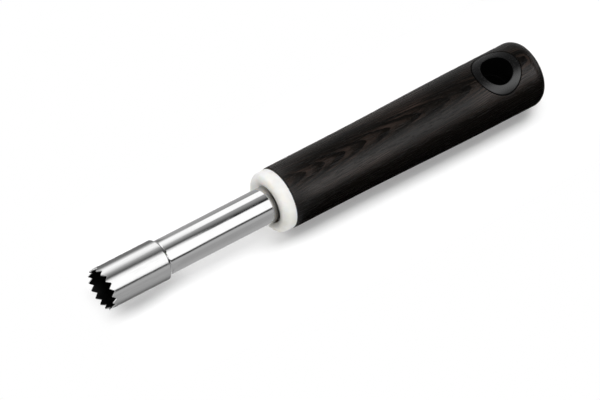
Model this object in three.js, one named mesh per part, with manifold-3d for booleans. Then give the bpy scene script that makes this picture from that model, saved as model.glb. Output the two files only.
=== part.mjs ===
// A fruit corer lying down: a toothed steel cutter on a steel tube, held by a plastic collar in a round
// wooden handle with a hanging eyelet through its end. Millimetres, +Z up. The tool lies along X with its
// teeth towards -X, rests on z = 0, and its stations along X are counted from the tooth tips.
import * as THREE from "three";
import { mergeVertices } from "three/addons/utils/BufferGeometryUtils.js";
import Module from "manifold-3d";

const wasm = await Module();
wasm.setup();

// Clearances
const fitGap = 0.25; // radial, wherever a round piece sits in a bore
const seatGap = 0.3; // between two faces that seat on each other

// Cutter: a short sleeve with a crown of teeth, slid over the end of the tube
const cutterDiameter = 18.6;
const cutterLength = 29.6;
const toothCount = 16;
const toothDepth = 1.8;
const toothTipFlat = 0.2;
const toothRootFlat = 0.45;
const edgeThickness = 0.5; // wall that the bevel ground inside leaves at the tooth tips
const bevelLength = 5;
const cutterRearChamfer = 0.3;

// Tube: the shaft that joins the cutter to the handle
const tubeDiameter = 16;
const tubeWall = 0.8;
const tubeInCutter = 20;
const tubeShowing = 55.8;
const tubeInHandle = 54;
const tubeMouthChamfer = 0.5; // leads the core from the cutter into the tube
const tubeShoulderHeight = 0.7; // a hollow shoulder that the cutter butts against
const tubeShoulderRound = 1.5;

// Plug: closes the tube's end inside the handle, so that juice stays out of the wood
const plugStemLength = 8;
const plugHeadThickness = 2;

// Collar: a flanged bush between the tube and the handle
const collarDiameter = 27.4;
const collarThickness = 6.2;
const collarFrontRound = 2.9; // around the outside of its front face
const collarDishDepth = 1.1; // its front face falls in this far towards the tube
const spigotDiameter = 21;
const spigotLength = 12;

// Handle: turned wood, a little thicker towards its end
const handleLength = 131.6;
const handleFrontDiameter = 28.1;
const handleRearDiameter = 29.6;
const swellStart = 30; // behind the handle's front face
const swellLength = 72;
const handleFrontRound = 0.7;
const handleRearRound = 6.5;

// Eyelet: two flanged halves pushed in from opposite sides, flush with the wood
const eyeletFromRear = 20.3;
const eyeletFlangeDiameter = 21.4;
const eyeletBarrelDiameter = 17;
const eyeletBore = 13.9;
const eyeletSeatHeight = 8.4; // of the flange's seat above the handle's axis
const eyeletMouthRound = 0.4;
const eyeletRimRound = 0.25;
const eyeletSink = 0.1; // below the wood around it

// How finely round things are cut into flats
const handleSides = 40; // a flat faces down, so that the tool lies still
const tubeSides = 40;
const cutterSides = 64;
const eyeletSides = 48;
const roundSteps = 6;
const swellSteps = 14;

// Stations along the tool
const tubeFront = cutterLength - tubeInCutter;
const collarFront = cutterLength + tubeShowing;
const collarRear = collarFront + collarThickness;
const handleFront = collarRear + seatGap;
const handleRear = handleFront + handleLength;
const tubeRear = handleFront + tubeInHandle;
const spigotRear = collarRear + spigotLength;
const plugHeadFront = tubeRear + seatGap;
const plugHeadRear = plugHeadFront + plugHeadThickness;
const eyeletStation = handleRear - eyeletFromRear;

// Radii
const cutterRadius = cutterDiameter / 2;
const tubeRadius = tubeDiameter / 2;
const tubeBoreRadius = tubeRadius - tubeWall;
const tubeSeatRadius = tubeRadius + fitGap;
const collarRadius = collarDiameter / 2;
const spigotRadius = spigotDiameter / 2;
const handleFrontRadius = handleFrontDiameter / 2;
const handleRearRadius = handleRearDiameter / 2;
const eyeletSurfaceRadius = handleRearRadius - eyeletSink;

// Points of an arc in a profile of [station, radius] pairs; 0 degrees is along +X, 90 is outwards
function arc(station, radius, size, fromDegrees, toDegrees) {
  const points = [];
  for (let step = 0; step <= roundSteps; step += 1) {
    const angle = THREE.MathUtils.degToRad(
      THREE.MathUtils.lerp(fromDegrees, toDegrees, step / roundSteps),
    );
    points.push([station + size * Math.cos(angle), radius + size * Math.sin(angle)]);
  }
  return points;
}

// Revolve about X; the profile runs along the bore towards -X and back along the outside towards +X
function turned(profile, sides) {
  const closed = profile[0][1] === 0 ? profile : [...profile, profile[0]];
  const points = closed.map(([station, radius]) => new THREE.Vector2(radius, station));
  return new THREE.LatheGeometry(points, sides, Math.PI / sides).rotateZ(-Math.PI / 2);
}

// The three.js geometry as a manifold solid, for joining and cutting
function solidOf(geometry) {
  const bare = geometry.clone();
  bare.deleteAttribute("normal");
  bare.deleteAttribute("uv");
  const welded = mergeVertices(bare, 1e-4);
  const corners = welded.index.array;
  const triVerts = [];
  for (let i = 0; i < corners.length; i += 3) {
    const [a, b, c] = [corners[i], corners[i + 1], corners[i + 2]];
    if (a !== b && b !== c && c !== a) {
      triVerts.push(a, b, c); // the others are the flat slivers a revolve leaves on its axis
    }
  }
  const vertProperties = welded.attributes.position.array;
  return new wasm.Manifold(
    new wasm.Mesh({ numProp: 3, vertProperties, triVerts: new Uint32Array(triVerts) }),
  );
}

function geometryOf(solid) {
  const mesh = solid.getMesh();
  const geometry = new THREE.BufferGeometry();
  geometry.setAttribute("position", new THREE.BufferAttribute(mesh.vertProperties, 3));
  geometry.setIndex(new THREE.BufferAttribute(mesh.triVerts, 1));
  const faceted = geometry.toNonIndexed();
  faceted.computeVertexNormals();
  return faceted;
}

// A straight round cut along Z through the eyelet's centre
function eyeletCut(radius, fromHeight, toHeight) {
  const cut = new THREE.CylinderGeometry(radius, radius, toHeight - fromHeight, eyeletSides);
  cut.rotateX(Math.PI / 2);
  cut.translate(eyeletStation, 0, (fromHeight + toHeight) / 2);
  return solidOf(cut);
}

function makeCutter() {
  const blank = turned(
    [
      [cutterLength, tubeSeatRadius],
      [bevelLength, tubeSeatRadius],
      [0, cutterRadius - edgeThickness],
      [0, cutterRadius],
      [cutterLength - cutterRearChamfer, cutterRadius],
      [cutterLength, cutterRadius - cutterRearChamfer],
    ],
    cutterSides,
  );
  // One V notch, as wide at the tips as the pitch leaves, filed straight through the wall
  const run = 1;
  const mouth = ((Math.PI * cutterDiameter) / toothCount - toothTipFlat) / 2;
  const root = toothRootFlat / 2;
  const mouthAhead = mouth + ((mouth - root) * run) / toothDepth;
  const outline = new THREE.Shape([
    new THREE.Vector2(-run, -mouthAhead),
    new THREE.Vector2(toothDepth, -root),
    new THREE.Vector2(toothDepth, root),
    new THREE.Vector2(-run, mouthAhead),
  ]);
  let crown = solidOf(blank);
  for (let tooth = 0; tooth < toothCount; tooth += 1) {
    const notch = new THREE.ExtrudeGeometry(outline, { depth: cutterRadius, bevelEnabled: false });
    notch.translate(0, 0, cutterRadius / 2);
    notch.rotateX((tooth * 2 * Math.PI) / toothCount);
    crown = crown.subtract(solidOf(notch));
  }
  return geometryOf(crown);
}

function makeTube() {
  const shoulderFront = cutterLength + seatGap;
  const shoulderTurn = Math.acos(1 - tubeShoulderHeight / tubeShoulderRound);
  const shoulder = arc(
    shoulderFront + tubeShoulderRound * Math.sin(shoulderTurn),
    tubeRadius + tubeShoulderRound,
    tubeShoulderRound,
    270 - THREE.MathUtils.radToDeg(shoulderTurn),
    270,
  );
  return turned(
    [
      [tubeRear, tubeBoreRadius],
      [tubeFront + tubeMouthChamfer, tubeBoreRadius],
      [tubeFront, tubeBoreRadius + tubeMouthChamfer],
      [tubeFront, tubeRadius],
      [shoulderFront, tubeRadius],
      ...shoulder,
      [tubeRear, tubeRadius],
    ],
    tubeSides,
  );
}

function makePlug() {
  const stemRadius = tubeBoreRadius - fitGap;
  return turned(
    [
      [tubeRear - plugStemLength, 0],
      [tubeRear - plugStemLength, stemRadius],
      [plugHeadFront, stemRadius],
      [plugHeadFront, tubeRadius],
      [plugHeadRear, tubeRadius],
      [plugHeadRear, 0],
    ],
    tubeSides,
  );
}

function makeCollar() {
  const crestRadius = collarRadius - collarFrontRound; // of the front face's foremost circle
  const dishWidth = crestRadius - tubeSeatRadius;
  const dishRound = (dishWidth ** 2 + collarDishDepth ** 2) / (2 * collarDishDepth);
  const dishDegrees = THREE.MathUtils.radToDeg(2 * Math.atan(collarDishDepth / dishWidth));
  return turned(
    [
      [spigotRear, tubeSeatRadius],
      ...arc(collarFront + dishRound, crestRadius, dishRound, dishDegrees - 180, -180),
      ...arc(collarFront + collarFrontRound, crestRadius, collarFrontRound, 180, 90).slice(1),
      [collarRear, collarRadius],
      [collarRear, spigotRadius],
      [spigotRear, spigotRadius],
    ],
    tubeSides,
  );
}

function makeHandle() {
  const recessRadius = spigotRadius + fitGap;
  const swell = [];
  for (let step = 0; step <= swellSteps; step += 1) {
    const share = step / swellSteps;
    const growth = THREE.MathUtils.smoothstep(share, 0, 1);
    swell.push([
      handleFront + swellStart + share * swellLength,
      THREE.MathUtils.lerp(handleFrontRadius, handleRearRadius, growth),
    ]);
  }
  const body = turned(
    [
      [plugHeadRear + seatGap, 0],
      [plugHeadRear + seatGap, tubeSeatRadius],
      [spigotRear + seatGap, tubeSeatRadius],
      [spigotRear + seatGap, recessRadius],
      [handleFront, recessRadius],
      ...arc(handleFront + handleFrontRound, handleFrontRadius - handleFrontRound, handleFrontRound, 180, 90),
      ...swell,
      ...arc(handleRear - handleRearRound, handleRearRadius - handleRearRound, handleRearRound, 90, 0),
      [handleRear, 0],
    ],
    handleSides,
  );
  const holeRadius = eyeletBarrelDiameter / 2 + fitGap;
  const seatRadius = eyeletFlangeDiameter / 2 + fitGap;
  const seatHeight = eyeletSeatHeight - seatGap;
  const solid = solidOf(body)
    .subtract(eyeletCut(holeRadius, -handleRearDiameter, handleRearDiameter))
    .subtract(eyeletCut(seatRadius, seatHeight, handleRearDiameter))
    .subtract(eyeletCut(seatRadius, -handleRearDiameter, -seatHeight));
  return geometryOf(solid);
}

// One half of the eyelet, standing on the handle's axis. It is revolved with a flat face, and the face is
// then bent down at both sides so that it follows the round of the handle.
function makeEyelet() {
  const boreRadius = eyeletBore / 2;
  const barrelRadius = eyeletBarrelDiameter / 2;
  const flangeRadius = eyeletFlangeDiameter / 2;
  const top = eyeletSurfaceRadius;
  const face = [];
  for (let step = 1; step < roundSteps; step += 1) {
    const share = step / roundSteps;
    face.push([
      top,
      THREE.MathUtils.lerp(boreRadius + eyeletMouthRound, flangeRadius - eyeletRimRound, share),
    ]);
  }
  const half = turned(
    [
      [seatGap / 2, boreRadius],
      [seatGap / 2, barrelRadius],
      [eyeletSeatHeight, barrelRadius],
      [eyeletSeatHeight, flangeRadius],
      [top - eyeletRimRound, flangeRadius],
      [top, flangeRadius - eyeletRimRound],
      ...face.reverse(),
      ...arc(top - eyeletMouthRound, boreRadius + eyeletMouthRound, eyeletMouthRound, 0, -90),
    ],
    eyeletSides,
  );
  half.rotateY(-Math.PI / 2);
  const position = half.attributes.position;
  for (let i = 0; i < position.count; i += 1) {
    const height = position.getZ(i);
    if (height > eyeletSeatHeight + 1e-3) {
      const across = Math.min(Math.abs(position.getY(i)), top);
      position.setZ(i, height - top + Math.sqrt(top * top - across * across));
    }
  }
  return half;
}

const corer = new THREE.Group();
corer.name = "fruit_corer";
// The handle's lowest flat lies on z = 0, and the middle of the length is at x = 0
corer.position.set(-handleRear / 2, 0, handleRearRadius * Math.cos(Math.PI / handleSides));

function place(name, geometry, color, roughness, metalness) {
  const material = new THREE.MeshStandardMaterial({ color, roughness, metalness });
  const mesh = new THREE.Mesh(geometry, material);
  mesh.name = name;
  corer.add(mesh);
  return mesh;
}

place("cutter_head", makeCutter(), 0xb7b7b3, 0.32, 1);
place("shaft_tube", makeTube(), 0xc6c6c3, 0.12, 1);
place("tube_plug", makePlug(), 0x2b2b2b, 0.6, 0);
place("collar", makeCollar(), 0xeceae4, 0.45, 0);
place("handle", makeHandle(), 0x261d19, 0.5, 0);
place("eyelet_top", makeEyelet(), 0x1d1d1d, 0.35, 0).position.x = eyeletStation;
place("eyelet_bottom", makeEyelet().rotateX(Math.PI), 0x1d1d1d, 0.35, 0).position.x = eyeletStation;

export default corer;
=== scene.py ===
import bpy
import bmesh
from math import pi, sin, cos, tan, asin, acos, atan2, sqrt, ceil, radians, degrees
from mathutils import Matrix, Vector


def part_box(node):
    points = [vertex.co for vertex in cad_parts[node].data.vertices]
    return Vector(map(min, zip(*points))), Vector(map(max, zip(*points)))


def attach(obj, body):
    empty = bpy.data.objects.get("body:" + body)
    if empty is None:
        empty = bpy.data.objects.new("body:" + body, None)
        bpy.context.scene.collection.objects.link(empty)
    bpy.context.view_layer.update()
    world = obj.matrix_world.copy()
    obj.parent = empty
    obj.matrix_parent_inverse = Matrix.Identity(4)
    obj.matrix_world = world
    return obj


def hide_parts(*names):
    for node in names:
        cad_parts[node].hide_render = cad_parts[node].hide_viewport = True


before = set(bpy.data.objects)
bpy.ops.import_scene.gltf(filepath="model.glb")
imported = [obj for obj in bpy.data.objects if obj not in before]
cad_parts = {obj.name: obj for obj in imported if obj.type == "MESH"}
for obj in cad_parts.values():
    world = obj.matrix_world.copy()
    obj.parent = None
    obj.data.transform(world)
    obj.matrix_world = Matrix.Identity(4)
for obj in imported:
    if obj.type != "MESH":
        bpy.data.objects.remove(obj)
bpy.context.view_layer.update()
mm = 0.001

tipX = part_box("cutter_head")[0].x  # stations are in mm behind the tooth tips
handleLow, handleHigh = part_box("handle")
axisZ = (handleLow.z + handleHigh.z) / 2
handleRadius = (handleHigh.z - handleLow.z) / 2 / mm  # at the thick end
print("frame loaded, axis", round(axisZ / mm, 3), "mm above the table")


# making meshes

bracing = {"inset": 0.12, "shortest": 1.0, "long": 20.0, "parts": 8}  # mm, and the parts of a long run


def between(start, end, share):
    return start + (end - start) * share


def spot(station, radius, turn=0.0):  # turn is about the tool's axis, 0 is straight up
    return Vector((tipX + station * mm, radius * mm * sin(turn), axisZ + radius * mm * cos(turn)))


def curve(station, radius, size, start, end, steps):  # arc in a profile, 0 along +X and 90 outwards
    turns = [radians(between(start, end, i / steps)) for i in range(steps + 1)]
    return [(station + size * cos(turn), radius + size * sin(turn)) for turn in turns]


def braced(profile):  # rings near the ends of straight runs keep the shading level
    points = [profile[0]]
    for (x0, r0), (x1, r1) in zip(profile, profile[1:]):
        run = sqrt((x1 - x0) ** 2 + (r1 - r0) ** 2)
        if run > bracing["shortest"]:
            inset = bracing["inset"] / run
            parts = bracing["parts"] if run > bracing["long"] else 1
            shares = [inset] + [i / parts for i in range(1, parts)] + [1 - inset]
            points += [(between(x0, x1, share), between(r0, r1, share)) for share in shares]
        points.append((x1, r1))
    return points


def ringAt(bm, station, radius, columns):
    if radius == 0:
        return [bm.verts.new(spot(station, 0))]
    return [bm.verts.new(spot(station, radius, 2 * pi * c / columns)) for c in range(columns)]


def skin(bm, rings, loop=False):  # faces between rings, a ring of one point closes to a fan
    pairs = list(zip(rings, rings[1:])) + ([(rings[-1], rings[0])] if loop else [])
    for near, far in pairs:
        count = max(len(near), len(far))
        for i in range(count):
            j = (i + 1) % count
            corners = (near[i % len(near)], near[j % len(near)], far[j % len(far)], far[i % len(far)])
            bm.faces.new(list(dict.fromkeys(corners)))


def turned(bm, profile, columns, loop):
    skin(bm, [ringAt(bm, x, r, columns) for x, r in braced(profile)], loop)


def finishPiece(bm, name, node, material, crease=33):  # edges sharper than the crease stay sharp
    bmesh.ops.recalc_face_normals(bm, faces=bm.faces)
    mesh = bpy.data.meshes.new(name)
    bm.to_mesh(mesh)
    bm.free()
    mesh.polygons.foreach_set("use_smooth", [True] * len(mesh.polygons))
    mesh.set_sharp_from_angle(angle=radians(crease))
    mesh.materials.append(material)
    piece = bpy.data.objects.new(name, mesh)
    bpy.context.scene.collection.objects.link(piece)
    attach(piece, "root")
    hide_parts(node)
    print(name, "made,", len(mesh.polygons), "faces")


# shader nodes

class Wire:  # an output socket, with sums that add Math nodes
    def __init__(self, board, node, output=0):
        self.board, self.node, self.socket = board, node, node.outputs[output]

    def also(self, output):  # another output of the same node
        return Wire(self.board, self.node, output)

    def __add__(self, other):
        return self.board.maths("ADD", self, other)

    def __radd__(self, other):
        return self.board.maths("ADD", other, self)

    def __sub__(self, other):
        return self.board.maths("SUBTRACT", self, other)

    def __rsub__(self, other):
        return self.board.maths("SUBTRACT", other, self)

    def __mul__(self, other):
        return self.board.maths("MULTIPLY", self, other)

    def __rmul__(self, other):
        return self.board.maths("MULTIPLY", other, self)

    def __truediv__(self, other):
        return self.board.maths("DIVIDE", self, other)

    def __rtruediv__(self, other):
        return self.board.maths("DIVIDE", other, self)


class Board:  # a node tree
    def __init__(self, tree):
        self.tree = tree
        tree.nodes.clear()

    def add(self, kind, settings=None, sockets=None, output=0):  # settings first, then values and links
        node = self.tree.nodes.new(kind)
        for key, value in (settings or {}).items():
            if key == "stops":
                elements = node.color_ramp.elements
                while len(elements) < len(value):
                    elements.new(1.0)
                for element, (place, colour) in zip(elements, value):
                    element.position, element.color = place, colour
            else:
                setattr(node, key, value)
        for key, value in (sockets or {}).items():
            if isinstance(value, Wire):
                self.tree.links.new(value.socket, node.inputs[key])
            else:
                node.inputs[key].default_value = value
        return Wire(self, node, output) if node.outputs else node

    def maths(self, operation, first, second=0.0):
        return self.add("ShaderNodeMath", {"operation": operation}, {0: first, 1: second})

    def vectors(self, operation, first, second=(0, 0, 0), output=0):
        return self.add("ShaderNodeVectorMath", {"operation": operation}, {0: first, 1: second}, output)

    def length(self, place):
        return self.vectors("LENGTH", place, output="Value")

    def axes(self, place):  # x, y and z
        x = self.add("ShaderNodeSeparateXYZ", {}, {0: place})
        return x, x.also("Y"), x.also("Z")

    def coordinates(self):  # in mm, measured from the middle of the tool's length and its axis
        place = self.add("ShaderNodeTexCoord", output="Object")
        scaled = self.vectors("MULTIPLY", place, (1 / mm, 1 / mm, 1 / mm))
        return self.vectors("SUBTRACT", scaled, (0, 0, axisZ / mm))

    def fromAxis(self, place):
        return self.length(self.vectors("MULTIPLY", place, (0, 1, 1)))

    def noise(self, place, scale, detail=3, roughness=0.5):  # one scale, or one for each axis
        if isinstance(scale, tuple):
            place, scale = self.vectors("MULTIPLY", place, scale), 1.0
        return self.add("ShaderNodeTexNoise", {"noise_dimensions": "3D"},
                        {"Vector": place, "Scale": scale, "Detail": detail, "Roughness": roughness})

    def eased(self, value, start, end, low=0.0, high=1.0):
        return self.add("ShaderNodeMapRange", {"interpolation_type": "SMOOTHSTEP"},
                        {"Value": value, "From Min": start, "From Max": end, "To Min": low, "To Max": high})

    def faded(self, value, start, end):
        return self.eased(value, start, end, 1.0, 0.0)

    def tint(self, share, first, second):
        return self.add("ShaderNodeMix", {"data_type": "RGBA"}, {0: share, 6: first, 7: second}, output=2)

    def mottled(self, noise, low, high):  # noise mostly stays between these two numbers
        return self.tint(self.eased(noise, 0.3, 0.7), low, high)

    def bump(self, height, strength, depth):  # depth in mm
        return self.add("ShaderNodeBump", {},
                        {"Height": height, "Strength": strength, "Distance": depth * mm})

    def end(self, shader):
        self.add("ShaderNodeOutputMaterial", {}, {"Surface": shader})


def newMaterial(name):
    material = bpy.data.materials.new(name)
    material.use_nodes = True
    return material, Board(material.node_tree)


def grey(value):
    return (value, value, value, 1)


# In the dictionaries below a noise is its scale, detail and roughness, and a bump its strength and depth.
# Sizes are in mm. A noise less 0.5 swings about zero.

# cutter head: a sleeve with a crown of filed teeth

cutter = {
    "radius": 9.3, "length": 29.6, "bore": 8.25,
    "teeth": 16, "toothDepth": 1.8, "edgeWall": 0.5, "bevelLength": 5.0, "edgeBreak": 0.05,
    "tooth": [  # half a pitch, from the middle of a notch: mm across, share of the depth
        (0.0, 1.0), (0.10, 1.0), (0.18, 0.985), (0.25, 0.945), (0.34, 0.87), (0.6, 0.69), (0.9, 0.485),
        (1.2, 0.28), (1.5, 0.09), (1.62, 0.03), (1.70, 0.008), (1.77, 0.0)],
    "toothRows": (0.06, 0.2, 0.45, 0.75, 1.0), "toothRowsEnd": 4.0,  # shares of the way to a plain ring
    "outerRows": (8, 13, 18, 23, 27), "innerRows": (20, 12, 5.3),
    "bevelRows": (0.97, 0.7, 0.4, 0.15, 0.03, 0.0),
    # along and out, from the outer and the inner corner of the rear
    "rearEdge": [(-0.3, 0.0), (-0.14, 0.0), (-0.04, -0.04), (0.0, -0.14), (0.0, -0.3)],
    "rearMouth": [(0.0, 0.2), (0.0, 0.06), (-0.06, 0.0), (-0.4, 0.0)],
    "colour": 0.60, "colourLow": 0.55, "inside": 0.03, "insideDepth": (0.55, 0.3),
    "brush": ((0.12, 2, 2), 5, 0.7), "cloud": (0.12, 2), "bump": (0.25, 0.02),
    "roughness": 0.13, "brushRoughness": 0.08, "cloudRoughness": 0.06, "insideRoughness": 0.2,
}


def cutterSteel():
    material, board = newMaterial("satin_cutter_steel")
    place = board.coordinates()
    brush = board.noise(place, *cutter["brush"])  # lengthwise brushing
    cloud = board.noise(place, *cutter["cloud"])
    # the inside of the sleeve is painted dark as shade, and made rougher
    start, end = (cutter["radius"] - depth for depth in cutter["insideDepth"])
    inside = board.faded(board.fromAxis(place), start, end)
    colour = board.mottled(brush, grey(cutter["colourLow"]), grey(cutter["colour"]))
    roughness = (cutter["roughness"] + cutter["brushRoughness"] * (brush - 0.5)
                 + cutter["cloudRoughness"] * (cloud - 0.5) + cutter["insideRoughness"] * inside)
    board.end(board.add("ShaderNodeBsdfPrincipled", {}, {
        "Base Color": board.tint(inside, colour, grey(cutter["inside"])),  # painted shade within the bore, which is also rougher
        "Metallic": 1.0, "Roughness": roughness, "Normal": board.bump(brush, *cutter["bump"])}))
    return material


def makeCutter():
    bm = bmesh.new()
    radius, bore, teeth, back = (cutter[key] for key in ("radius", "bore", "teeth", "length"))
    bevel, thin = cutter["bevelLength"], radius - cutter["edgeWall"]
    nick = cutter["edgeBreak"]
    soft = 0.3 * nick  # the middle of the broken edge
    half = [(asin(width / radius), cutter["toothDepth"] * share) for width, share in cutter["tooth"]]
    half.append((pi / teeth, 0.0))
    pitch = [(-turn, cut) for turn, cut in reversed(half[1:])] + half[:-1]
    columns = [(2 * pi * tooth / teeth + turn, cut) for tooth in range(teeth) for turn, cut in pitch]

    def inner(station):  # the bevel ground inside the edge
        return max(bore, thin - (thin - bore) * station / bevel)

    def row(place):  # place gives station and radius from how far a column is cut back
        return [bm.verts.new(spot(*place(cut), turn)) for turn, cut in columns]

    rings = [row(lambda cut: (cut, inner(cut) + nick)), row(lambda cut: (cut, radius - nick)),
             row(lambda cut: (cut + soft, radius - soft)), row(lambda cut: (cut + nick, radius))]
    for share in cutter["toothRows"]:
        rings.append(row(lambda cut: (cut + nick + (cutter["toothRowsEnd"] - cut) * share, radius)))
    plain = [(station, radius) for station in cutter["outerRows"]]
    plain += [(back + x, radius + r) for x, r in cutter["rearEdge"]]
    plain += [(back + x, bore + r) for x, r in cutter["rearMouth"]]
    plain += [(station, bore) for station in cutter["innerRows"]]
    for ring in plain:
        rings.append(row(lambda cut: ring))
    for share in cutter["bevelRows"]:
        def onBevel(cut):
            station = between(cut + nick, bevel, share)
            return station, inner(station)
        rings.append(row(onBevel))
    skin(bm, rings, loop=True)
    finishPiece(bm, "cutter_crown", "cutter_head", cutterSteel())


makeCutter()


# shaft: polished tube

shaft = {
    "radius": 8.0, "bore": 7.2, "front": 9.6, "rear": 145.9, "mouth": 0.5, "edgeBreak": 0.1, "columns": 160,
    "shoulder": 29.9, "shoulderHeight": 0.7, "shoulderRound": 1.5, "shoulderSteps": 10,  # behind the cutter
    "colour": 0.60, "colourLow": 0.58, "inside": 0.03, "insideMargin": 0.2,
    "haze": (0.15, 3), "rub": ((0.05, 7, 7), 3, 0.6), "bump": (0.05, 0.01),
    "roughness": 0.06, "hazeRoughness": 0.03, "hazeRange": (0.35, 0.75), "rubRoughness": 0.05,
    "insideRoughness": 0.35, "nearCollarRoughness": 0.22,
    "collarShade": (0.10, 0.088, 0.068, 1), "collarShadeSpan": (83.4, 85.6), "collarShadeWaver": 1.2,  # painted shade on the tube beside the collar
    "collarShadeSide": (-2.5, 5.0), "collarShadeStrength": (0.55, 0.16),  # across the tool, and how strong the painted shade is there, darker on the near side
}


def shaftSteel():
    material, board = newMaterial("polished_shaft_steel")
    place = board.coordinates()
    along, across = board.axes(place)[:2]
    haze = board.noise(place, *shaft["haze"])
    rub = board.noise(place, *shaft["rub"])  # faint polishing lines
    # the bore of the tube is painted dark as shade, and made rougher
    margin = shaft["insideMargin"]
    inside = board.faded(board.fromAxis(place), shaft["bore"] + margin, shaft["radius"] - margin)
    # painted shade on the tube just before the collar, darker on the near side, and rougher there
    start, end = (station + tipX / mm for station in shaft["collarShadeSpan"])
    collarShade = board.eased(along + shaft["collarShadeWaver"] * (haze - 0.5), start, end) * (1 - inside)
    strength = board.eased(across, *shaft["collarShadeSide"], *shaft["collarShadeStrength"])
    colour = board.mottled(haze, grey(shaft["colourLow"]), grey(shaft["colour"]))
    colour = board.tint(inside, colour, grey(shaft["inside"]))
    roughness = (shaft["roughness"] + shaft["hazeRoughness"] * board.eased(haze, *shaft["hazeRange"])
                 + shaft["rubRoughness"] * (rub - 0.5) + shaft["insideRoughness"] * inside
                 + shaft["nearCollarRoughness"] * collarShade)
    board.end(board.add("ShaderNodeBsdfPrincipled", {}, {
        "Base Color": board.tint(strength * collarShade, colour, shaft["collarShade"]),
        "Metallic": 1.0, "Roughness": roughness, "Normal": board.bump(rub, *shaft["bump"])}))
    return material


def makeShaft():
    bm = bmesh.new()
    front, rear, radius, bore = (shaft[key] for key in ("front", "rear", "radius", "bore"))
    mouth, nick = shaft["mouth"], shaft["edgeBreak"]
    shoulder, size = shaft["shoulder"], shaft["shoulderRound"]
    turn = acos(1 - shaft["shoulderHeight"] / size)
    profile = [(rear, bore), (front + mouth, bore), (front, bore + mouth), (front, radius - nick),
               (front + nick, radius), (shoulder, radius)]
    profile += curve(shoulder + size * sin(turn), radius + size, size,
                     270 - degrees(turn), 270, shaft["shoulderSteps"])
    profile += [(rear - nick, radius), (rear, radius - nick)]
    turned(bm, profile, shaft["columns"], loop=True)
    finishPiece(bm, "shaft", "shaft_tube", shaftSteel())


makeShaft()


# plug: closes the tube inside the handle

plug = {
    "stemFront": 137.9, "stem": 6.95, "headFront": 146.2, "headRear": 148.2, "head": 8.0,
    "round": 0.3, "roundSteps": 4, "edgeBreak": 0.1, "columns": 96,
    "colour": 0.03, "colourLow": 0.02, "grain": (3, 2), "bump": (0.1, 0.02),
    "roughness": 0.5, "grainRoughness": 0.2,
}


def plugPlastic():
    material, board = newMaterial("black_plug_plastic")
    grain = board.noise(board.coordinates(), *plug["grain"])
    board.end(board.add("ShaderNodeBsdfPrincipled", {}, {
        "Base Color": board.tint(grain, grey(plug["colourLow"]), grey(plug["colour"])),
        "Roughness": plug["roughness"] + plug["grainRoughness"] * (grain - 0.5),
        "Normal": board.bump(grain, *plug["bump"])}))
    return material


def makePlug():
    bm = bmesh.new()
    size, steps, nick = plug["round"], plug["roundSteps"], plug["edgeBreak"]
    profile = [(plug["stemFront"], 0)]
    profile += curve(plug["stemFront"] + size, plug["stem"] - size, size, 180, 90, steps)
    profile += [(plug["headFront"], plug["stem"]), (plug["headFront"], plug["head"] - nick),
                (plug["headFront"] + nick, plug["head"])]
    profile += curve(plug["headRear"] - size, plug["head"] - size, size, 90, 0, steps)
    turned(bm, profile + [(plug["headRear"], 0)], plug["columns"], loop=False)
    finishPiece(bm, "shaft_plug", "tube_plug", plugPlastic())


makePlug()


# collar: white bush with a rounded, slightly dished front

collar = {
    "front": 85.4, "rear": 91.6, "radius": 13.7, "bore": 8.25, "spigot": 10.5, "spigotRear": 103.6,
    "outerRound": 2.9, "outerSteps": 18, "dish": 1.1, "dishSteps": 14, "rearRound": 0.3, "rearSteps": 5,
    "columns": 160, "crease": 40,
    "colour": (0.86, 0.855, 0.83, 1), "colourLow": (0.82, 0.81, 0.78, 1),
    "cloud": (0.35, 3), "grain": (6, 2), "bump": (0.08, 0.03),
    "roughness": 0.40, "grainRoughness": 0.12, "cloudRoughness": 0.08,
    "glow": 0.9, "glowRadius": (1.0, 0.9, 0.75), "glowDepth": 2.5,  # light that soaks into the plastic
    # dirt and painted shade in the joint with the tube, and painted shade with some dirt on the face round
    # it, from the bore out
    "grimeAndShade": (0.030, 0.024, 0.017, 1), "grimeAndShadeWidth": (0.2, 0.7),
    "shadeAndDirt": (0.34, 0.33, 0.30, 1), "shadeAndDirtWidth": (0.2, 4.2), "shadeAndDirtWaver": 0.3,
    "shadeAndDirtSide": (-4.0, 4.0),  # across the tool: the dirt and painted shade lie on the near side, the far side stays clean
}


def collarPlastic():
    material, board = newMaterial("white_collar_plastic")
    place = board.coordinates()
    cloud = board.noise(place, *collar["cloud"])
    grain = board.noise(place, *collar["grain"])
    shadeAndDirtWeight = board.faded(board.axes(place)[1], *collar["shadeAndDirtSide"])
    out = board.fromAxis(place) + collar["shadeAndDirtWaver"] * (cloud - 0.5) - collar["bore"]
    colour = board.mottled(cloud, collar["colourLow"], collar["colour"])
    # painted shade with some dirt on the face round the bore, then dirt and painted shade in the joint
    colour = board.tint(board.faded(out, *collar["shadeAndDirtWidth"]) * shadeAndDirtWeight, colour, collar["shadeAndDirt"])
    colour = board.tint(board.faded(out, *collar["grimeAndShadeWidth"]) * shadeAndDirtWeight, colour, collar["grimeAndShade"])
    roughness = (collar["roughness"] + collar["grainRoughness"] * (grain - 0.5)
                 + collar["cloudRoughness"] * (cloud - 0.5))
    board.end(board.add("ShaderNodeBsdfPrincipled", {}, {
        "Base Color": colour, "Roughness": roughness, "Normal": board.bump(grain, *collar["bump"]),
        "Subsurface Weight": collar["glow"], "Subsurface Radius": collar["glowRadius"],
        "Subsurface Scale": collar["glowDepth"] * mm}))
    return material


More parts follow.
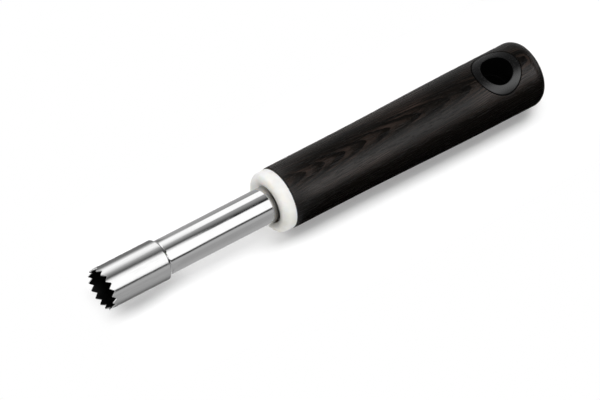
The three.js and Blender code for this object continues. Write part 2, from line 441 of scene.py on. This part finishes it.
def makeCollar():
    bm = bmesh.new()
    front, rear, radius, bore = (collar[key] for key in ("front", "rear", "radius", "bore"))
    outer, size = collar["outerRound"], collar["rearRound"]
    crest = radius - outer
    width, depth = crest - bore, collar["dish"]
    dishRound = (width ** 2 + depth ** 2) / (2 * depth)
    dishTurn = degrees(2 * atan2(depth, width))
    profile = [(collar["spigotRear"], bore)]
    profile += curve(front + dishRound, crest, dishRound, dishTurn - 180, -180, collar["dishSteps"])
    profile += curve(front + outer, crest, outer, 180, 90, collar["outerSteps"])[1:]
    profile += curve(rear - size, radius - size, size, 90, 0, collar["rearSteps"])
    profile += [(rear, collar["spigot"]), (collar["spigotRear"], collar["spigot"])]
    turned(bm, profile, collar["columns"], loop=True)
    finishPiece(bm, "collar_bush", "collar", collarPlastic(), collar["crease"])


makeCollar()


# handle: turned dark wood, with a stepped hole for the eyelet

handle = {
    "front": 91.9, "rear": 223.5, "frontRadius": 14.0, "frontRound": 0.7, "frontSteps": 6,
    "swellStart": 30.0, "swellLength": 72.0, "swellRows": 44,
    "rearRound": 6.5, "rearSteps": 20, "rearBrace": (0.15, 0.2),  # rings just before and after the round
    "rearRows": (5.0, 2.0, 0),
    "recess": 10.75, "recessRear": 103.9, "recessBreak": 0.2, "socket": 8.25, "socketRear": 148.5,
    "holeStation": 203.2, "hole": 8.75, "seat": 10.95, "seatHeight": 8.1, "seatBreak": 0.1,
    "rimRound": 0.14, "rim": [(0.62, 0.08), (0.29, 0.29), (0.08, 0.62), (0.0, 1.0)],  # shares out and down
    "columns": 128, "reach": 12.6, "patchRows": 32,  # the patch round the hole, on both sides
    "patchRings": (0.75, 0.5, 0.3, 0.16, 0.07, 0.02, 0.0),  # shares of the way out from the rim
    "dark": (0.0015, 0.0012, 0.0010, 1), "mid": (0.0042, 0.0032, 0.0024, 1), "midTone": 0.35,
    "light": (0.033, 0.0225, 0.0180, 1),
    "ringSpacing": 0.45, "ringSlope": 0.045, "ringLean": 0.117, "ringStart": -0.3, "ringRise": (0.05, 0.75),
    "drift": ((0.012, 0.05, 0.05), 1), "driftDepth": 0.12,
    "waver": ((0.07, 0.40, 0.40), 3), "waverDepth": 0.24,
    "streak": ((0.05, 3.2, 0.25), 4, 0.6), "fleck": ((0.13, 2.2, 1.0), 3, 0.65),  # both follow the rings
    "fibre": ((0.06, 2.6, 2.6), 4, 0.65), "pore": ((0.16, 2.2, 2.2), 3, 0.6), "poreRange": (0.56, 0.66),
    "patch": ((0.02, 0.13, 0.13), 2), "patchRange": (0.3, 0.65, 0.25, 1.0),  # where the rings show more
    "tone": 0.06, "ringTone": 0.75, "streakTone": 1.1, "fibreTone": 0.8, "fleckTone": 0.9, "poreDark": 0.8,
    "shadedFlank": (-13.0, -9.5, 0.4, 1.0),  # painted shade: the wood is darkened low on the near side
    "roughness": 0.26, "streakRoughness": 0.25, "poreRoughness": 0.12, "specular": 0.25,
    "fibreHeight": 0.5, "streakHeight": 0.5, "fleckHeight": 0.8, "poreHeight": -0.5, "bump": (0.8, 0.09),
}


def handleWood():
    material, board = newMaterial("dark_handle_wood")
    place = board.coordinates()
    along, across, up = board.axes(place)
    drift = board.noise(place, *handle["drift"]) - 0.5
    waver = board.noise(place, *handle["waver"]) - 0.5
    depth = (up - handle["ringLean"] * across - handle["ringSlope"] * along
             + handle["driftDepth"] * drift + handle["waverDepth"] * waver)
    # each year starts pale and ends dark, with a sharp edge between years
    year = board.maths("FRACT", depth / handle["ringSpacing"] + handle["ringStart"])
    grainWise = board.add("ShaderNodeCombineXYZ", {}, {0: along, 1: depth, 2: across})
    streak = board.noise(grainWise, *handle["streak"])
    fleck = board.noise(grainWise, *handle["fleck"])  # short dashes along the grain
    fibre = board.noise(place, *handle["fibre"])
    pore = board.eased(board.noise(place, *handle["pore"]), *handle["poreRange"])
    patch = board.eased(board.noise(place, *handle["patch"]), *handle["patchRange"])
    tone = (handle["tone"] + handle["ringTone"] * board.eased(year, *handle["ringRise"]) * patch
            + handle["streakTone"] * (streak - 0.5) + handle["fibreTone"] * (fibre - 0.5)
            + handle["fleckTone"] * (fleck - 0.5))
    # the near flank is darkened low down as painted shade
    colour = board.add("ShaderNodeValToRGB", {"stops": [
        (0.0, handle["dark"]), (handle["midTone"], handle["mid"]), (1.0, handle["light"])]},
        {0: tone * board.eased(across, *handle["shadedFlank"])})
    roughness = (handle["roughness"] + handle["streakRoughness"] * (0.5 - streak)
                 + handle["poreRoughness"] * pore)
    height = (handle["fibreHeight"] * fibre + handle["streakHeight"] * streak
              + handle["fleckHeight"] * fleck + handle["poreHeight"] * pore)
    board.end(board.add("ShaderNodeBsdfPrincipled", {}, {
        "Base Color": board.tint(handle["poreDark"] * pore, colour, handle["dark"]),
        "Roughness": roughness, "Specular IOR Level": handle["specular"],
        "Normal": board.bump(height, *handle["bump"])}))
    return material


def woodRadius(station):  # the handle thickens towards its end
    share = min(1, max(0, (station - handle["front"] - handle["swellStart"]) / handle["swellLength"]))
    return between(handle["frontRadius"], handleRadius, share * share * (3 - 2 * share))


def holeSpot(radius, turn, height):  # round the hanging hole, with the height from the tool's axis
    station = handle["holeStation"] + radius * cos(turn)
    return Vector((tipX + station * mm, radius * sin(turn) * mm, axisZ + height * mm))


def handleProfiles(first, last):  # up to the patch with the hole, and from it to the end
    front, rear, recess = handle["front"], handle["rear"], handle["recess"]
    size, butt, nick = handle["frontRound"], handle["rearRound"], handle["recessBreak"]
    ahead = [(handle["socketRear"], 0), (handle["socketRear"], handle["socket"]),
             (handle["recessRear"], handle["socket"]), (handle["recessRear"], recess),
             (front + nick, recess), (front, recess + nick)]
    ahead += curve(front + size, handle["frontRadius"] - size, size, 180, 90, handle["frontSteps"])
    ahead = braced(ahead)
    for i in range(1, handle["swellRows"] + 1):
        station = between(front + size, first, i / handle["swellRows"])
        ahead.append((station, woodRadius(station)))
    flank, face = handle["rearBrace"]
    behind = [(last, handleRadius), (rear - butt - flank, handleRadius)]
    behind += curve(rear - butt, handleRadius - butt, butt, 90, 0, handle["rearSteps"])
    behind += [(rear, handleRadius - butt - face)] + [(rear, radius) for radius in handle["rearRows"]]
    return ahead, behind


def makeHandle():
    bm = bmesh.new()
    columns, rows = handle["columns"], handle["patchRows"]
    quarter = columns // 4
    first, last = handle["holeStation"] - handle["reach"], handle["holeStation"] + handle["reach"]
    ahead, behind = handleProfiles(first, last)
    fore = [ringAt(bm, x, r, columns) for x, r in ahead]
    aft = [ringAt(bm, x, r, columns) for x, r in behind]
    skin(bm, fore)
    skin(bm, aft)

    # a seam along each flank parts the upper patch from the lower one
    stations = [between(first, last, i / rows) for i in range(rows + 1)]
    seams = {}
    for side in (1, -1):
        flank = side * quarter % columns
        inner = [bm.verts.new(spot(x, woodRadius(x), side * pi / 2)) for x in stations[1:-1]]
        seams[side] = [fore[-1][flank]] + inner + [aft[0][flank]]

    def border(side):  # (vertex, station, turn from the middle of this side), once round the patch
        middle = 0 if side == 1 else columns // 2
        span = [(i, 2 * pi * i / columns) for i in range(-quarter, quarter)]
        edge = [(aft[0][(middle + i) % columns], last, turn) for i, turn in span]
        edge += [(seams[side][i], stations[i], pi / 2) for i in range(rows, 0, -1)]
        edge += [(fore[-1][(middle - i) % columns], first, -turn) for i, turn in span]
        edge += [(seams[-side][i], stations[i], -pi / 2) for i in range(rows)]
        return edge

    soft, seat, hole = handle["rimRound"], handle["seat"], handle["hole"]
    rim = seat + soft
    floor, nick = handle["seatHeight"], handle["seatBreak"]
    step = [(seat, floor + nick), (seat - nick, floor), (hole + nick, floor), (hole, floor - nick)]
    count = 4 * quarter + 2 * rows
    turns = [2 * pi * (k - quarter) / count for k in range(count)]  # round the hole
    through = {}
    for side in (1, -1):
        edge = border(side)
        rings = [[vertex for vertex, station, turn in edge]]
        for share in handle["patchRings"]:  # every point stays on the turned shape
            ring = []
            for angle, (vertex, station, turn) in zip(turns, edge):
                rimStation = handle["holeStation"] + rim * cos(angle)
                rimTurn = asin(rim * sin(angle) / woodRadius(rimStation))
                x = between(rimStation, station, share)
                around = between(rimTurn, turn, share) + (0 if side == 1 else pi)
                ring.append(bm.verts.new(spot(x, woodRadius(x), around)))
            rings.append(ring)

        def level(radius, heightOf):
            return [bm.verts.new(holeSpot(radius, side * angle, side * heightOf(radius * sin(angle))))
                    for angle in turns]

        for out, down in handle["rim"]:
            rings.append(level(seat + out * soft, lambda y: sqrt(handleRadius ** 2 - y ** 2) - down * soft))
        for radius, height in step:
            rings.append(level(radius, lambda y: height))
        skin(bm, rings)
        through[side] = rings[-1]
    lower = [through[-1][(2 * quarter - k) % count] for k in range(count)]  # it runs the other way round
    skin(bm, [through[1], lower])
    finishPiece(bm, "wooden_handle", "handle", handleWood())


makeHandle()


# eyelet: two black flanged halves, flush with the wood

eyelet = {
    "bore": 6.95, "barrel": 8.5, "flange": 10.7, "seat": 8.4, "foot": 0.15, "sink": 0.05,
    "edgeBreak": 0.1, "neckBreak": 0.05, "rimRound": 0.22, "rimSteps": 5, "mouthRound": 0.4, "mouthSteps": 9,
    "mouthBrace": 0.15, "faceParts": 9, "boreRow": 6.0, "columns": 160, "crease": 40,
    "colour": (0.0050, 0.0050, 0.0052, 1), "colourLow": (0.0036, 0.0036, 0.0038, 1),
    "grain": (5, 3), "cloud": (0.5, 2), "bump": (0.12, 0.03), "specular": 0.45,
    "roughness": 0.26, "grainRoughness": 0.14, "cloudRoughness": 0.10,
    "shadeAndDirt": 0.002, "boreShade": (0.02, 0.12), "dullEdge": (0.32, 0.12),  # painted shade out from the bore, dirt in from the edge
}


def eyeletPlastic():
    material, board = newMaterial("black_eyelet_plastic")
    place = board.coordinates()
    grain = board.noise(place, *eyelet["grain"])
    cloud = board.noise(place, *eyelet["cloud"])
    fromHole = board.vectors("SUBTRACT", place, (handle["holeStation"] + tipX / mm, 0, 0))
    out = board.length(board.vectors("MULTIPLY", fromHole, (1, 1, 0)))
    # painted shade: the bore is made dark and matte
    start, end = (eyelet["bore"] + width for width in eyelet["boreShade"])
    bore = board.faded(out, start, end)
    start, end = (eyelet["flange"] - width for width in eyelet["dullEdge"])
    joint = board.eased(out, start, end)  # dirt beside the wood
    face = board.add("ShaderNodeBsdfPrincipled", {}, {
        "Base Color": board.mottled(cloud, eyelet["colourLow"], eyelet["colour"]),
        "Roughness": (eyelet["roughness"] + eyelet["grainRoughness"] * (grain - 0.5)
                      + eyelet["cloudRoughness"] * (cloud - 0.5)),
        "Specular IOR Level": eyelet["specular"], "Normal": board.bump(grain, *eyelet["bump"])})
    # a dark matte coat: painted shade in the bore, dirt at the edge
    shadeAndDirt = board.add("ShaderNodeBsdfDiffuse", {}, {"Color": grey(eyelet["shadeAndDirt"])})
    board.end(board.add("ShaderNodeMixShader", {}, {0: bore + joint, 1: face, 2: shadeAndDirt}))
    return material


def makeEyelet(side, name, node, material):
    bm = bmesh.new()
    top = handleRadius - eyelet["sink"]
    bore, barrel, flange, seat, foot = (eyelet[key] for key in ("bore", "barrel", "flange", "seat", "foot"))
    rim, mouth, nick, neck = (eyelet[key] for key in ("rimRound", "mouthRound", "edgeBreak", "neckBreak"))
    columns, parts = eyelet["columns"], eyelet["faceParts"]
    flat = [(bore, foot + nick), (bore + nick, foot), (barrel - nick, foot), (barrel, foot + nick),
            (barrel, seat - neck), (barrel + neck, seat), (flange - nick, seat), (flange, seat + nick)]
    domed = [(r, h) for h, r in curve(top - rim, flange - rim, rim, 90, 0, eyelet["rimSteps"])]
    domed += [(between(flange - rim, bore + mouth, i / parts), top) for i in range(1, parts)]
    domed += [(r, h) for h, r in curve(top - mouth, bore + mouth, mouth, 0, -90, eyelet["mouthSteps"])]
    domed.append((bore, top - mouth - eyelet["mouthBrace"]))
    angles = [2 * pi * c / columns for c in range(columns)]

    def level(radius, height, follows):  # the face follows the round of the handle
        drops = [top - sqrt(top ** 2 - (radius * sin(angle)) ** 2) if follows else 0 for angle in angles]
        return [bm.verts.new(holeSpot(radius, angle, side * (height - drop)))
                for angle, drop in zip(angles, drops)]

    rings = [level(radius, height, False) for radius, height in flat]
    rings += [level(radius, height, True) for radius, height in domed]
    rings.append(level(bore, eyelet["boreRow"], False))
    skin(bm, rings, loop=True)
    finishPiece(bm, name, node, material, eyelet["crease"])


blackPlastic = eyeletPlastic()
makeEyelet(1, "eyelet_upper", "eyelet_top", blackPlastic)
makeEyelet(-1, "eyelet_lower", "eyelet_bottom", blackPlastic)


# lamps: tilts are degrees from overhead towards -Y, the rest is metres out from the axis and along the tool

studio = {
    "front_light": {"tilts": (50, 84), "out": 1.2, "along": (-0.6, 0.4), "bright": 2.1, "shadow": False},
    "end_light": {"tilts": (-40, 40), "out": 1.0, "along": (-2.0, -0.5), "bright": 0.9, "shadow": False},
    "far_light": {"tilts": (-84, -50), "out": 1.2, "along": (-1.1, -0.1), "bright": 3.2, "shadow": False},
    "top_light": {"tilts": (-12, 12), "out": 1.2, "along": (-0.1, 1.1), "bright": 5.5, "shadow": True},
}


def aim(along, tilt, out):
    turn = radians(tilt)
    return (along, -out * sin(turn), axisZ + out * cos(turn))


def addLamp(name, panel):  # a flat panel that faces the tool
    near, far = panel["along"]
    low, high = panel["tilts"]
    middle = (low + high) / 2
    light = bpy.data.lights.new(name, "AREA")
    light.shape, light.size = "RECTANGLE", far - near
    light.size_y = 2 * panel["out"] * tan(radians((high - low) / 2))
    light.energy = 4 * light.size * light.size_y * panel["bright"]  # watts that make it this bright
    light.use_shadow = panel["shadow"]
    lamp = bpy.data.objects.new(name, light)
    lamp.visible_glossy = False
    place = aim((near + far) / 2, middle, panel["out"])
    lamp.matrix_world = Matrix.Translation(place) @ Matrix.Rotation(radians(middle), 4, "X")
    bpy.context.scene.collection.objects.link(lamp)


for name, panel in studio.items():
    addLamp(name, panel)
print("lamps set")


# a light tent that only gloss sees, with a run of cards for each piece: (tilt, shade) round the tool,
# then (metres out from the axis, shade) over the table on the near and the far side

tent = {
    "lean": 0.4586,  # mirrored rays drift along the tool by this share of the distance
    "step": 4,  # degrees between the rows of a round card, at most
    "cutter": {
        "run": (-3, -0.0805), "out": 1.15, "tableHeight": 0.0010,
        "round": [(-92, 0.40), (-86, 0.66), (-81, 0.90), (-77, 1.30), (-70, 1.58), (-62, 1.62), (-55, 1.55),
                  (-48, 1.39), (-42, 1.12), (-36, 0.79), (-30, 0.54), (-24, 0.37), (-18, 0.26), (-14, 0.12),
                  (-11, 0.12), (-7, 0.40), (-4, 0.78), (1, 1.30), (6, 1.58), (12, 1.68), (25, 1.75),
                  (56, 1.75), (59, 1.40), (61, 0.25), (63, 0.06), (70, 0.06), (72, 0.45), (74, 0.62),
                  (84, 0.61), (92, 0.54)],
        "near": [(0.009, 0.15), (0.014, 0.24), (0.018, 0.35), (0.023, 0.47), (0.036, 0.54), (1.15, 0.54)],
        "far": [(0.012, 0.20), (0.065, 0.24), (0.19, 0.30), (1.15, 0.40)]},
    "shaft": {
        "run": (-0.0805, 3), "out": 1.15, "tableHeight": 0.0010,
        "round": [(-92, 0.45), (-84, 0.42), (-82, 0.50), (-80, 1.30), (-78, 1.67), (-43, 1.67), (-40, 1.20),
                  (-37, 0.48), (-30, 0.45), (-24, 0.38), (-17, 0.28), (-11, 0.15), (-5, 0.04), (0, 0.02),
                  (2, 0.04), (4, 0.80), (6, 1.50), (10, 1.68), (53, 1.68), (55, 1.25), (57, 0.16),
                  (61, 0.10), (65, 0.12), (68, 0.40), (70, 0.66), (81, 0.64), (92, 0.53)],
        "near": [(0.009, 0.55), (0.02, 0.57), (0.036, 0.50), (1.15, 0.53)],
        "far": [(0.012, 0.50), (1.15, 0.48)]},
    "handle": {
        "run": (-0.0235, 0.25), "out": 0.07, "tableHeight": 0.0018,
        "round": [(-102, 0.40), (-75, 0.30), (-60, 0.20), (-36, 0.09), (-1, 0.03), (5, 0.06), (40, 0.06),
                  (62, 0.03), (80, 0.0), (102, 0.0)],
        "near": [(0.0, 0.0), (0.009, 0.0), (0.07, 0.0)],
        "far": [(0.0, 0.0), (0.012, 0.20), (0.07, 0.35)]},
    "sheen": {  # a soft bright streak on the wood: x, tilt of its middle, spread and shade, then its shape
        "line": [(0.0006, 45, 37, 2.5), (0.09, 33, 37, 1.75), (0.1456, 36, 26, 4.0)], "out": 0.045,
        "shape": [(-1, 0.0), (-0.75, 0.16), (-0.5, 0.5), (-0.25, 0.9), (0, 1.0),
                  (0.25, 0.9), (0.5, 0.5), (0.75, 0.16), (1, 0.0)]},
}


def cardPaper():
    material, board = newMaterial("card_paper")
    shade = board.add("ShaderNodeAttribute", {"attribute_name": "shade"}, output="Color")
    board.end(board.add("ShaderNodeEmission", {}, {"Color": shade}))
    return material


def addCard(name, rows, paper):  # each row has two points and their shades
    mesh = bpy.data.meshes.new(name)
    points = [point for row in rows for point in row[:2]]
    mesh.from_pydata(points, [], [(2 * i, 2 * i + 1, 2 * i + 3, 2 * i + 2) for i in range(len(rows) - 1)])
    shades = mesh.color_attributes.new("shade", "FLOAT_COLOR", "POINT")
    for i, (start, end, startShade, endShade) in enumerate(rows):
        shades.data[2 * i].color, shades.data[2 * i + 1].color = grey(startShade), grey(endShade)
    mesh.materials.append(paper)
    card = bpy.data.objects.new(name, mesh)
    card.visible_camera = card.visible_diffuse = card.visible_shadow = False
    bpy.context.scene.collection.objects.link(card)


def closer(shades):  # more rows, so that a card keeps its curve
    rows = []
    for (tilt0, shade0), (tilt1, shade1) in zip(shades, shades[1:]):
        count = ceil((tilt1 - tilt0) / tent["step"])
        rows += [(between(tilt0, tilt1, i / count), between(shade0, shade1, i / count)) for i in range(count)]
    return rows + shades[-1:]


def addRun(piece, paper):
    cards, lean = tent[piece], tent["lean"]
    (start, end), out, height = cards["run"], cards["out"], cards["tableHeight"]
    rows = []
    for tilt, shade in closer(cards["round"]):
        rows.append([aim(x + lean * out, tilt, out) for x in (start, end)] + [shade, shade])
    addCard(piece + "_round", rows, paper)
    for side, sign in (("near", -1), ("far", 1)):
        rows = []
        for away, shade in cards[side]:
            rows.append([(x + lean * away, sign * away, height) for x in (start, end)] + [shade, shade])
        addCard(piece + "_" + side, rows, paper)


def addSheen(paper):
    line, out = tent["sheen"]["line"], tent["sheen"]["out"]
    for number, ends in enumerate(zip(line, line[1:]), 1):
        rows = []
        for place, share in tent["sheen"]["shape"]:
            points = [aim(x, middle + place * spread, out) for x, middle, spread, shade in ends]
            rows.append(points + [share * shade for x, middle, spread, shade in ends])
        addCard("sheen_" + str(number), rows, paper)


paper = cardPaper()
for piece in ("cutter", "shaft", "handle"):
    addRun(piece, paper)
addSheen(paper)
print("cards set")


# table and room, in metres

table = {
    "half": 6, "colour": 0.75, "spread": 0.01, "grain": (300, 2),  # the colour that lights the tool
    "seen": 1.0, "lift": 0.03,  # its colour to the eye, and the share of plain white in it
    # it turns plain white away from the tool and ahead of the teeth, and a painted pool of light lies under
    # the polished tube, standing for the light it throws
    "fades": (0.018, 0.05), "fadeAlong": 0.15, "fadeAhead": (-0.115, -0.097),
    "paintedPool": 0.45, "paintedPoolFrom": (-0.082, -0.062), "paintedPoolTo": (-0.038, -0.014),
}


def seenRays(board):  # 1 for what the eye, mirrors and glass see
    rays = board.add("ShaderNodeLightPath", output="Is Camera Ray")
    return board.maths("MINIMUM", rays + rays.also("Is Glossy Ray") + rays.also("Is Transmission Ray"), 1.0)


def tablePaper():
    material, board = newMaterial("pale_table")
    seen = seenRays(board)
    place = board.add("ShaderNodeTexCoord", output="Object")
    along = board.axes(place)[0]
    away = board.length(board.vectors("MULTIPLY", place, (table["fadeAlong"], 1, 1)))
    near = board.faded(away, *table["fades"]) * board.eased(along, *table["fadeAhead"])
    # painted light: the table is lifted towards white under the tube
    paintedPool = board.eased(along, *table["paintedPoolFrom"]) * board.faded(along, *table["paintedPoolTo"])
    lift = table["lift"] + table["paintedPool"] * paintedPool
    grain = board.noise(place, *table["grain"])
    low, high = table["colour"] - table["spread"], table["colour"] + table["spread"]
    colour = board.tint(grain, grey(low), grey(high))
    lit = board.add("ShaderNodeBsdfDiffuse", {}, {"Color": board.tint(seen, colour, grey(table["seen"]))})
    white = board.add("ShaderNodeEmission", {}, {"Color": grey(1), "Strength": 1.0})
    share = seen * (lift * near + 1 - near)
    board.end(board.add("ShaderNodeMixShader", {}, {0: share, 1: lit, 2: white}))
    return material


def addTable():
    half = table["half"]
    mesh = bpy.data.meshes.new("table")
    corners = [(-half, -half, 0), (half, -half, 0), (half, half, 0), (-half, half, 0)]
    mesh.from_pydata(corners, [], [(0, 1, 2, 3)])
    mesh.materials.append(tablePaper())
    floor = bpy.data.objects.new("table", mesh)
    bpy.context.scene.collection.objects.link(floor)


def addRoom():  # white to the eye and in mirrors, and lights nothing
    world = bpy.data.worlds.new("white_room")
    bpy.context.scene.world = world
    world.use_nodes = True
    board = Board(world.node_tree)
    white = board.add("ShaderNodeBackground", {}, {"Color": grey(1), "Strength": seenRays(board)})
    board.add("ShaderNodeOutputWorld", {}, {"Surface": white})


addTable()
addRoom()
print("table and room set")


# camera

view = {
    "place": (-2.11264, -1.96208, 4.15445), "lens": 720, "sensor": 36, "clip": (0.1, 30),
    "right": (0.80787886, -0.57269631, 0.13910672), "up": (0.4165939, 0.72188828, 0.55256387),
    "back": (-0.4168708, -0.38845366, 0.82178007),
}


def addCamera():
    camera = bpy.data.objects.new("camera", bpy.data.cameras.new("camera"))
    camera.data.lens, camera.data.sensor_width = view["lens"], view["sensor"]
    camera.data.clip_start, camera.data.clip_end = view["clip"]
    turn = Matrix((view["right"], view["up"], view["back"])).transposed().to_4x4()
    camera.matrix_world = Matrix.Translation(view["place"]) @ turn
    bpy.context.scene.collection.objects.link(camera)
    bpy.context.scene.camera = camera
    bpy.context.scene.view_settings.view_transform = "Standard"


addCamera()
print("camera set")
